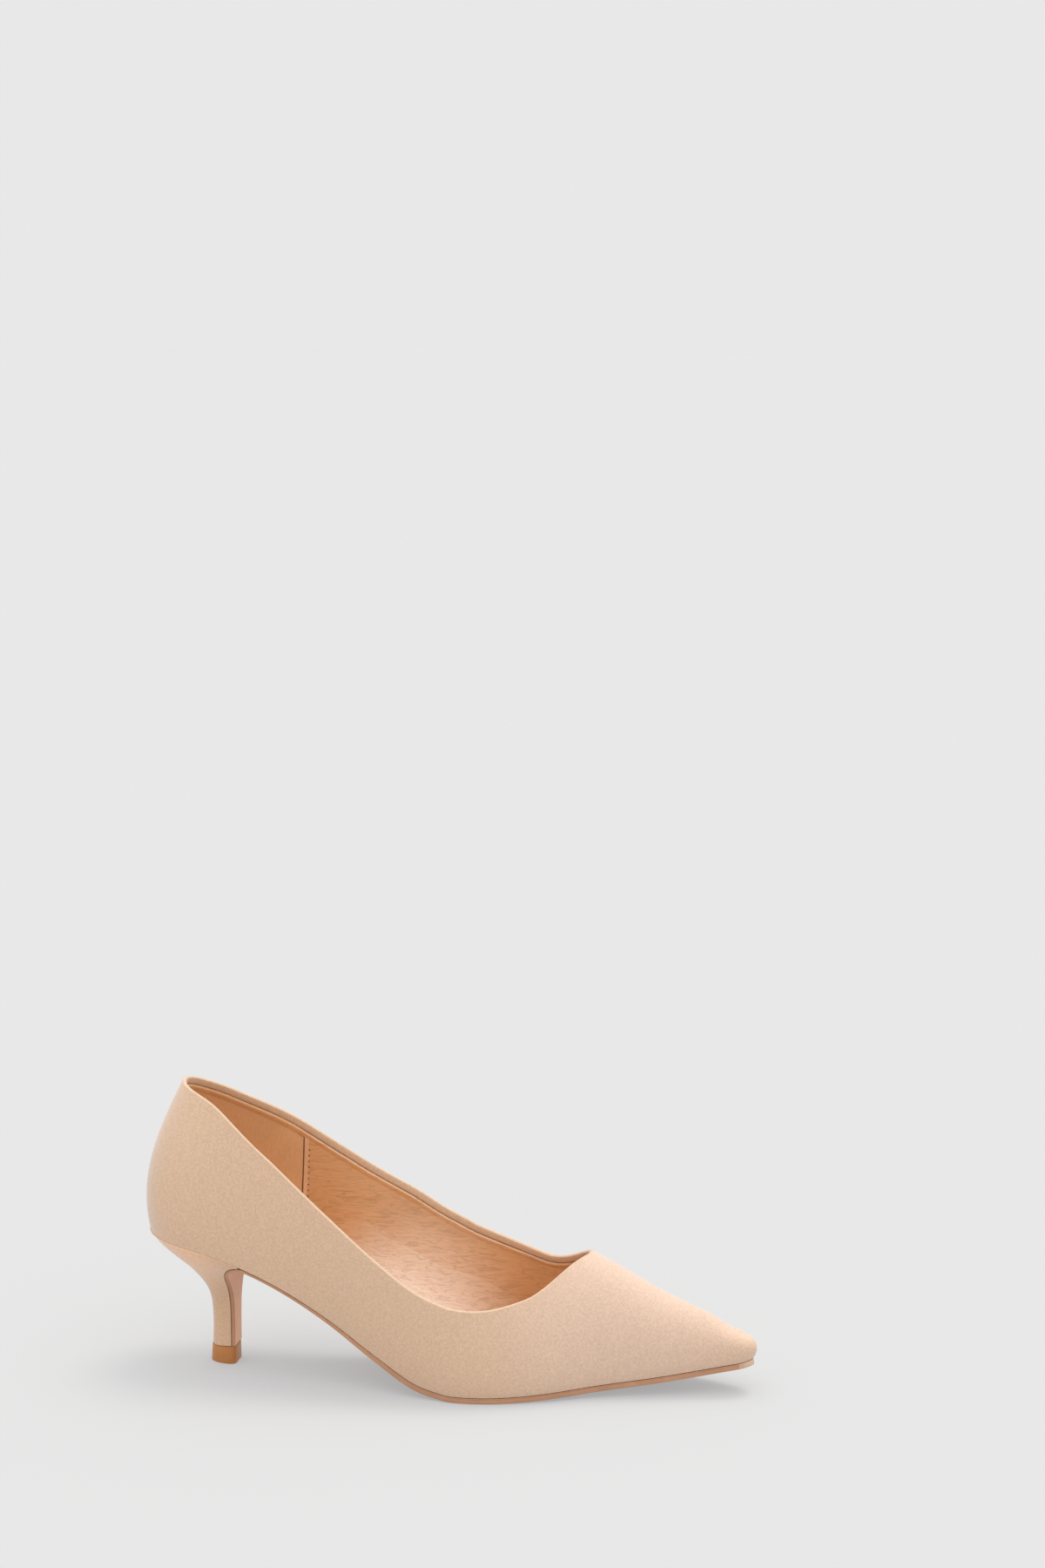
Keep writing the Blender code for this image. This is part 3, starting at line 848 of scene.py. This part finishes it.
def make_linings(places):
    edges = edges_of_opening(places, LINING_EDGE)
    throat = edges[OUTER][-1][0]
    lap_end = LINING_SEAM + SEAM_LAP / SHOE_LENGTH
    bm, where = lasted_grid(stations(throat, [lap_end], 0.0, lap_end), edges, LINING_STEPS)
    body = shell(bm, where, constant(COVER + HAIR), constant(QUARTER_FACE))
    finish_mesh("lining_quarter", body, QUARTER_LOOK, sharp=50)
    near_seam = [LINING_SEAM + SEAM_STEP * i / SHOE_LENGTH for i in range(SEAM_STEPS)]
    bm, where = lasted_grid(stations(throat, near_seam, LINING_SEAM, 1.0), edges, LINING_STEPS)

    def inner_depth(along, share):
        return FRONT_FACE + seam_raise(along)

    strip_end = LINING_SEAM + SEAM_STRIP / SHOE_LENGTH
    body = shell(bm, where, constant(COVER + 2 * HAIR), inner_depth, lambda along: int(along < strip_end))
    finish_mesh("lining_vamp", body, [VAMP_LOOK, STRIP_LOOK], sharp=50)
    start = FOLD_DEPTH + PUFF_GAP
    full = start + PUFF_FULL
    low = LINING_EDGE + PUFF_LAP
    profile = [(FRONT_FACE + depth, start + below) for depth, below in PUFF_TOP]
    for i in range(ROUND_STEPS + 1):
        down = i / ROUND_STEPS
        puff = LINING_PUFF * (1 - ease(down)) - PUFF_SINK * ease(down * 2 - 1)
        profile.append((FRONT_FACE + puff, full + (low - full) * down))
    profile.append((FRONT_FACE - PUFF_FOOT, low))
    edging("lining_edge", places, profile, VAMP_LOOK, (LINING_SEAM, QUARTER_LOOK))


def seam_shadow(bm, side, top):
    """A dark strip: painted shadow in the gap behind the front lining's folded edge."""
    rings = []
    for i in range(GAP_STEPS + 1):
        t = GAP_LOW + (top - GAP_LOW) * i / GAP_STEPS
        ring = []
        for ahead, depth in SEAM_GAP:
            along = LINING_SEAM + ahead / SHOE_LENGTH
            ring.append(bm.verts.new(inwards(along, side * (1 - t), side, WALL + depth)))
        rings.append(ring)
    for first, second in zip(rings, rings[1:]):
        for j in range(len(first)):
            after = (j + 1) % len(first)
            bm.faces.new((first[j], first[after], second[after], second[j]))
    bm.faces.new(rings[0])
    bm.faces.new(rings[-1])


def make_stitches(places):
    """The lining seam's painted shadow, a dark strip, and the stitches beside it, on both sides."""
    edges = edges_of_opening(places, LINING_EDGE + STITCH_BELOW)
    along = LINING_SEAM + (SEAM_STRIP + STITCH_AHEAD) / SHOE_LENGTH
    bm = bmesh.new()
    for side in SIDES:
        curve = wall_curve(along, side)
        top = read_edge(edges[side], along)
        seam_shadow(bm, side, top + GAP_ABOVE)
        length, t = 0.0, top
        last = along_curve(curve, t)
        while t > STITCH_LOW:
            t -= STITCH_SEARCH
            point = along_curve(curve, t)
            length += (point - last).length
            last = point
            if length < STITCH_STEP:
                continue
            length = 0.0
            normal = outward(along, side * (1 - t), side)
            up = (along_curve(curve, t + STITCH_AIM) - point).normalized()
            aside = up.cross(normal)
            centre = point - normal * (WALL + JUST_INSIDE)
            turn = Matrix((aside, up, normal)).transposed().to_4x4()
            shape = Matrix.Translation(centre) @ turn @ Matrix.Diagonal((*STITCH, 1.0))
            bmesh.ops.create_icosphere(bm, subdivisions=2, radius=1.0, matrix=shape)
    bmesh.ops.recalc_face_normals(bm, faces=bm.faces)
    finish_mesh("lining_stitches_and_seam_shadow", bm, STITCH_AND_SHADOW_LOOK, sharp=50)


# Sock, sole, heel and top lift


def inside_wall(along, side, height):
    """A point of the lining's face at a height above the feather edge."""
    curve = wall_curve(along, side)
    t = search(0.0, RIM_HIGHEST, RIM_TRIES, lambda share: along_curve(curve, share).z - curve[0].z < height)
    return inwards(along, side * (1 - t), side, WALL + JUST_INSIDE)


def arch_pad(along, side):
    """How much of the padding under the foot's arch there is: on the inner side, between heel and ball."""
    if side == OUTER:
        return 0.0
    start, full, falling, end = ARCH_PAD
    return ease((along - start) / (full - start)) * (1 - ease((along - falling) / (end - falling)))


def sock_half(along, side, cove):
    """One side of a row of the sock: up from its flat middle along a hollow curve onto the lining."""
    pad = arch_pad(along, side)
    corner = inside_wall(along, side, INSOLE + SOCK_LIFT)
    corner.z = feather_height(corner.x) + INSOLE
    upper = inside_wall(along, side, INSOLE + cove + (PAD_RISE - cove) * pad)
    flat = corner - Vector((0, side * (cove + (PAD_RUN - cove) * pad), 0))
    row = []
    for i in range(COVE_STEPS + 1):
        t = i / COVE_STEPS
        row.append((1 - t) ** 2 * flat + 2 * t * (1 - t) * corner + t**2 * upper)
    return row


def make_sock():
    bm = bmesh.new()
    where = {}
    rows = []
    for along in stations(THROAT / SHOE_LENGTH):
        ends = [inside_wall(along, side, INSOLE) for side in SIDES]
        width = ends[1].y - ends[0].y
        if width < SOCK_NARROWEST:
            continue
        cove = min(SOCK_COVE, width * COVE_WIDTH)
        left, right = (sock_half(along, side, cove) for side in SIDES)
        middle = []
        for i in range(1, SOCK_STEPS):
            point = left[0].lerp(right[0], i / SOCK_STEPS)
            point.z = feather_height(point.x) + INSOLE
            middle.append(point)
        row = []
        for point in left[::-1] + middle + right:
            vert = bm.verts.new(point)
            where[vert] = (along, 0.0)
            row.append(vert)
        rows.append(row)
    for first, second in zip(rows, rows[1:]):
        for j in range(len(first) - 1):
            bm.faces.new((first[j], second[j], second[j + 1], first[j + 1]))
    bm.normal_update()
    body = shell(bm, where, constant(0.0), constant(INSOLE / 2))
    finish_mesh("sock", body, SOCK_LOOK, ["insole"], sharp=50)


def feather_normal(x):
    step = 0.0005
    rise = feather_height(x + step) - feather_height(x - step)
    return Vector((-rise, 0, 2 * step)).normalized()


def breast_centre():
    """Centre of the arc that joins the heel's front to the waist, and the x where it touches the waist."""

    def centre_under(x):
        return Vector((x, 0, feather_height(x))) - feather_normal(x) * BREAST_RADIUS

    front = HEEL_FRONT + BREAST_RADIUS
    touch = search(HEEL_FRONT, TREAD_START, BREAST_TRIES, lambda x: centre_under(x).x < front)
    return centre_under(touch), touch


def seat_height(x):
    return feather_height(x) - FIT_GAP


def heel_base():
    return LIFT_HEIGHT + FIT_GAP


def breast_points():
    """Points up the heel's front: the straight stem, then the arc until it meets the seat."""
    centre, _ = breast_centre()
    base = heel_base()
    points = [Vector((HEEL_FRONT, 0, base + (centre.z - base) * i / STEM_STEPS)) for i in range(STEM_STEPS)]
    for i in range(BREAST_STEPS + 1):
        turn = math.pi - math.radians(BREAST_TURN) * i / BREAST_STEPS
        point = centre + BREAST_RADIUS * Vector((math.cos(turn), 0, math.sin(turn)))
        if point.z > seat_height(point.x) - FIT_GAP:
            break
        points.append(point)
    return points


def heel_rise(point):
    return (point.z - heel_base()) / (seat_height(point.x) - heel_base())


def heel_ring(front, rise, shrink=0.0):
    back = smooth(HEEL_TAPER, "up", "back", rise)
    side_share = smooth(HEEL_TAPER, "up", "side", rise)
    start = (HEEL_FRONT - STEM_DEPTH) * (1 - back) + shrink
    ring = {OUTER: [], INNER: []}
    for side in SIDES:
        for i in range(1, HEEL_SIDE_STEPS + 1):
            share = 1 - math.cos(math.pi / 2 * i / HEEL_SIDE_STEPS)
            x = start + (front.x - start) * share
            seat = half_width(front.x * share / SHOE_LENGTH, side)
            stem = STEM_WIDTH / 2 * quarter_round(share / STEM_ROUND)
            half = stem * (1 - side_share) + seat * side_share - shrink
            height = heel_base() + rise * (seat_height(x) - heel_base())
            ring[side].append(Vector((x, side * max(half, HAIR), height)))
    return ring[OUTER] + ring[INNER][::-1]


def loft(bm, rings):
    """Joins closed rings of points into one body and caps its ends with strips between their two sides."""
    rows = [[bm.verts.new(point) for point in ring] for ring in rings]
    count = len(rows[0])
    for first, second in zip(rows, rows[1:]):
        for i in range(count):
            after = (i + 1) % count
            bm.faces.new((first[i], first[after], second[after], second[i]))
    for row in (rows[0], rows[-1]):
        for i in range(count // 2 - 1):
            bm.faces.new((row[i], row[i + 1], row[count - 2 - i], row[count - 1 - i]))
    bmesh.ops.recalc_face_normals(bm, faces=bm.faces)


def make_heel():
    bm = bmesh.new()
    points = breast_points()
    rings = [heel_ring(point, heel_rise(point)) for point in points]
    tip = points[-1]
    rings += [heel_ring(tip, rise, -bead) for rise, bead in SEAT_BEAD]
    loft(bm, rings)
    finish_mesh("heel_cover", bm, HEEL_LOOK, ["heel"], sharp=40)


def sole_stations():
    """Places along the sole from the toe to the flap's foot, as (middle of its upper face, upward normal,
    outer half width, inner half width)."""
    centre, touch = breast_centre()
    found = []
    for along in reversed(stations(THROAT / SHOE_LENGTH)[:-1]):
        x = along * SHOE_LENGTH
        if x <= touch + ARC_CLEAR:
            break
        halves = (half_width(along, side) for side in SIDES)
        found.append((Vector((x, 0, seat_height(x))), feather_normal(x), *halves))
    radius = BREAST_RADIUS - FIT_GAP
    first = math.atan2(feather_normal(touch).z, feather_normal(touch).x)
    for i in range(SOLE_ARC_STEPS + 1):
        turn = first + (math.pi - first) * i / SOLE_ARC_STEPS
        normal = Vector((math.cos(turn), 0, math.sin(turn)))
        found.append((centre + normal * radius, normal, *breast_halves(centre + normal * BREAST_RADIUS)))
    for point in reversed(breast_points()):
        if point.z > centre.z - ARC_CLEAR:
            continue
        found.append((point + Vector((FIT_GAP, 0, 0)), Vector((-1, 0, 0)), *breast_halves(point)))
    return found


def breast_halves(point):
    rise = heel_rise(point)
    if rise >= 1:
        along = point.x / SHOE_LENGTH
        return half_width(along, OUTER), half_width(along, INNER)
    ring = heel_ring(point, rise)
    return -ring[HEEL_SIDE_STEPS - 1].y, ring[HEEL_SIDE_STEPS].y


def sole_thickness(point, normal):
    """The edge's thickness, which goes over to the flap's where the sole turns down the breast."""
    edge = WAIST_EDGE + (SOLE_EDGE - WAIST_EDGE) * change(point.x / SHOE_LENGTH, EDGE_CHANGE)
    if point.x > TREAD_START:
        return edge
    return edge + (FLAP - edge) * ease(-normal.x)


def sole_side(thick, bevel):
    """The sole's edge from top to tread, as (inwards, down)."""
    start, deepest, end = DRAWN_LINE
    bend = bevel * BEVEL_BEND
    points = [(TOP_BREAK, 0.0), (0.0, TOP_BREAK), (0.0, thick * start), (LINE_DEPTH, thick * deepest)]
    points += [(0.0, thick * end), (0.0, thick - bevel), (bend, thick - bend), (bevel, thick)]
    return points


def make_sole():
    """The outsole, with a fine line drawn under its edge's top and a bevel at the tread."""
    bm = bmesh.new()
    rows = []
    for point, normal, outer, inner in sole_stations():
        thick = sole_thickness(point, normal)
        bevel = min(SOLE_BEVEL, thick * BEVEL_SHARE)
        side = sole_side(thick, bevel)
        ring = [point + Vector((0, -outer + inset, 0)) - normal * down for inset, down in side]
        for i in range(1, SOLE_STEPS):
            y = -outer + bevel + (outer + inner - 2 * bevel) * i / SOLE_STEPS
            ring.append(point + Vector((0, y, 0)) - normal * thick)
        ring += [point + Vector((0, inner - inset, 0)) - normal * down for inset, down in reversed(side)]
        for i in range(1, SOLE_STEPS):
            y = inner - TOP_BREAK - (outer + inner - 2 * TOP_BREAK) * i / SOLE_STEPS
            ring.append(point + Vector((0, y, 0)))
        verts = [bm.verts.new(corner) for corner in ring]
        rows.append((verts, normal.x < FLAP_SLOPE, point.x > SHOE_LENGTH - ROUGH_TIP))
    count = len(rows[0][0])
    tread = range(len(side) - 1, len(side) + SOLE_STEPS - 1)
    for (first, _, _), (second, on_breast, at_tip) in zip(rows, rows[1:]):
        for i in range(count):
            after = (i + 1) % count
            face = bm.faces.new((first[i], first[after], second[after], second[i]))
            # On the flap the tread faces take the paler flap colour, painted light
            if on_breast:
                face.material_index = 1 if i in tread else 2
            elif at_tip:
                face.material_index = 3
    for row, _, _ in (rows[0], rows[-1]):
        bm.faces.new(row)
    bmesh.ops.recalc_face_normals(bm, faces=bm.faces)
    finish_mesh("sole", bm, [SOLE_LOOK, PAINTED_LIGHT_FLAP_LOOK, EDGE_LOOK, TIP_LOOK], ["outsole"], sharp=35)


def lift_ring(height, grow):
    """Outline of the top lift: round at the back, straight across the front with rounded corners."""
    depth, half = LIFT_DEPTH + grow, LIFT_WIDTH / 2 + grow
    back = LIFT_FRONT - depth
    sides = {OUTER: [], INNER: []}
    for side in SIDES:
        for i in range(1, LIFT_STEPS + 1):
            turn = math.pi / 2 * i / LIFT_STEPS
            x = back + (depth - LIFT_CORNER) * (1 - math.cos(turn))
            sides[side].append(Vector((x, side * half * math.sin(turn), height)))
        for i in range(1, CORNER_STEPS + 1):
            turn = math.pi / 2 * i / CORNER_STEPS
            x = LIFT_FRONT - LIFT_CORNER * (1 - math.sin(turn))
            sides[side].append(Vector((x, side * (half - LIFT_CORNER * (1 - math.cos(turn))), height)))
    return sides[OUTER] + sides[INNER][::-1]


def make_lift():
    """Straight sides that spread a little towards the floor, with its edges just broken."""
    bm = bmesh.new()
    rings = []
    for height, broken in LIFT_EDGES:
        rings.append(lift_ring(height, LIFT_FLARE * (1 - height / LIFT_HEIGHT) - broken))
    loft(bm, rings)
    finish_mesh("walking_piece", bm, LIFT_LOOK, ["top_lift"], sharp=35)


# Floor, light and camera

# The backdrop's brightness, the overhead light's in red, green and blue, and the cosines of the angles from
# its middle at which it starts and is full
BACKDROP = 0.807
OVERHEAD = (1.70, 1.77, 1.84)
OVERHEAD_FROM, OVERHEAD_TO = 0.50, 0.92
TOWARDS_LIGHT = Vector((0.10, -0.14, 0.98)).normalized()

# The lamp's brightness on the floor, where it stands and how wide it looks, in degrees
LAMP = 0.30
TOWARDS_LAMP = Vector((0.18, 0.22, 0.85)).normalized()
LAMP_SPREAD = 24

# How much of the floor's brightness is its own glow, its half width and how far it lies under the shoe
FLOOR_GLOW = (0.38, 0.41, 0.43)
FLOOR_HALF = 40
FLOOR_DROP = 0.00005

CAMERA_AT = (0.2323, -1.17956, 0.42382)
CAMERA_TURN = (81.441, -0.172, 9.749)
CAMERA_LENS = 70.75


def overhead_share():
    """How much of an open floor's light comes from overhead instead of the backdrop."""
    total = 0.0
    rises, turns = 40, 80
    for i in range(rises):
        rise = (i + 0.5) / rises
        flat = math.sqrt(1 - rise * rise)
        for j in range(turns):
            turn = 2 * math.pi * j / turns
            way = Vector((flat * math.cos(turn), flat * math.sin(turn), rise))
            total += 2 * rise * ease((way.dot(TOWARDS_LIGHT) - OVERHEAD_FROM) / (OVERHEAD_TO - OVERHEAD_FROM))
    return total / (rises * turns)


def make_floor():
    """A floor as bright as the backdrop. It glows too, which keeps shadows as pale as on a lit table."""
    bm = bmesh.new()
    bmesh.ops.create_grid(bm, x_segments=2, y_segments=2, size=FLOOR_HALF)
    mesh = bpy.data.meshes.new("floor")
    bm.to_mesh(mesh)
    bm.free()
    floor = bpy.data.objects.new("floor", mesh)
    floor.location.z = -FLOOR_DROP
    share = overhead_share()
    lit = [LAMP + BACKDROP + (top - BACKDROP) * share for top in OVERHEAD]
    albedo = [(1 - glow) * BACKDROP / light for glow, light in zip(FLOOR_GLOW, lit)]
    look = Look("pale_floor", albedo, 1.0, 0.0)
    look.give({"Emission Color": (*FLOOR_GLOW, 1), "Emission Strength": BACKDROP})
    mesh.materials.append(look.made)
    bpy.context.scene.collection.objects.link(floor)


def make_light():
    """Even light from all round, brighter from overhead, and a wide lamp high up behind the shoe."""
    world = bpy.data.worlds.new("studio")
    world.use_nodes = True
    tree = world.node_tree
    way = add_node(tree, "TexCoord", {})["Generated"]
    facing = add_node(tree, "VectorMath", {0: way, 1: TOWARDS_LIGHT}, operation="DOT_PRODUCT")["Value"]
    span = {"From Min": OVERHEAD_FROM, "From Max": OVERHEAD_TO, "Value": facing}
    near = add_node(tree, "MapRange", span, interpolation_type="SMOOTHSTEP")["Result"]
    colours = {"A": (BACKDROP, BACKDROP, BACKDROP, 1), "B": (*OVERHEAD, 1), "Factor": near}
    bright = add_node(tree, "Mix", colours, data_type="RGBA")["Result"]
    feed(tree, tree.nodes["Background"], {"Color": bright})
    bpy.context.scene.world = world
    light = bpy.data.lights.new("softbox", "SUN")
    light.energy = LAMP * math.pi / TOWARDS_LAMP.z
    light.angle = math.radians(LAMP_SPREAD)
    lamp = bpy.data.objects.new("softbox", light)
    lamp.rotation_euler = TOWARDS_LAMP.to_track_quat("Z", "Y").to_euler()
    bpy.context.scene.collection.objects.link(lamp)


def make_camera():
    camera = bpy.data.objects.new("camera", bpy.data.cameras.new("camera"))
    camera.data.lens = CAMERA_LENS
    camera.data.clip_start = 0.05
    camera.data.clip_end = 200
    camera.location = CAMERA_AT
    camera.rotation_euler = [math.radians(angle) for angle in CAMERA_TURN]
    bpy.context.scene.collection.objects.link(camera)
    bpy.context.scene.camera = camera


edge_places = beside(topline_loop())
make_upper(edge_places)
make_linings(edge_places)
make_stitches(edge_places)
make_sock()
make_sole()
make_heel()
make_lift()
make_floor()
make_light()
make_camera()
bpy.context.scene.view_settings.view_transform = "Standard"
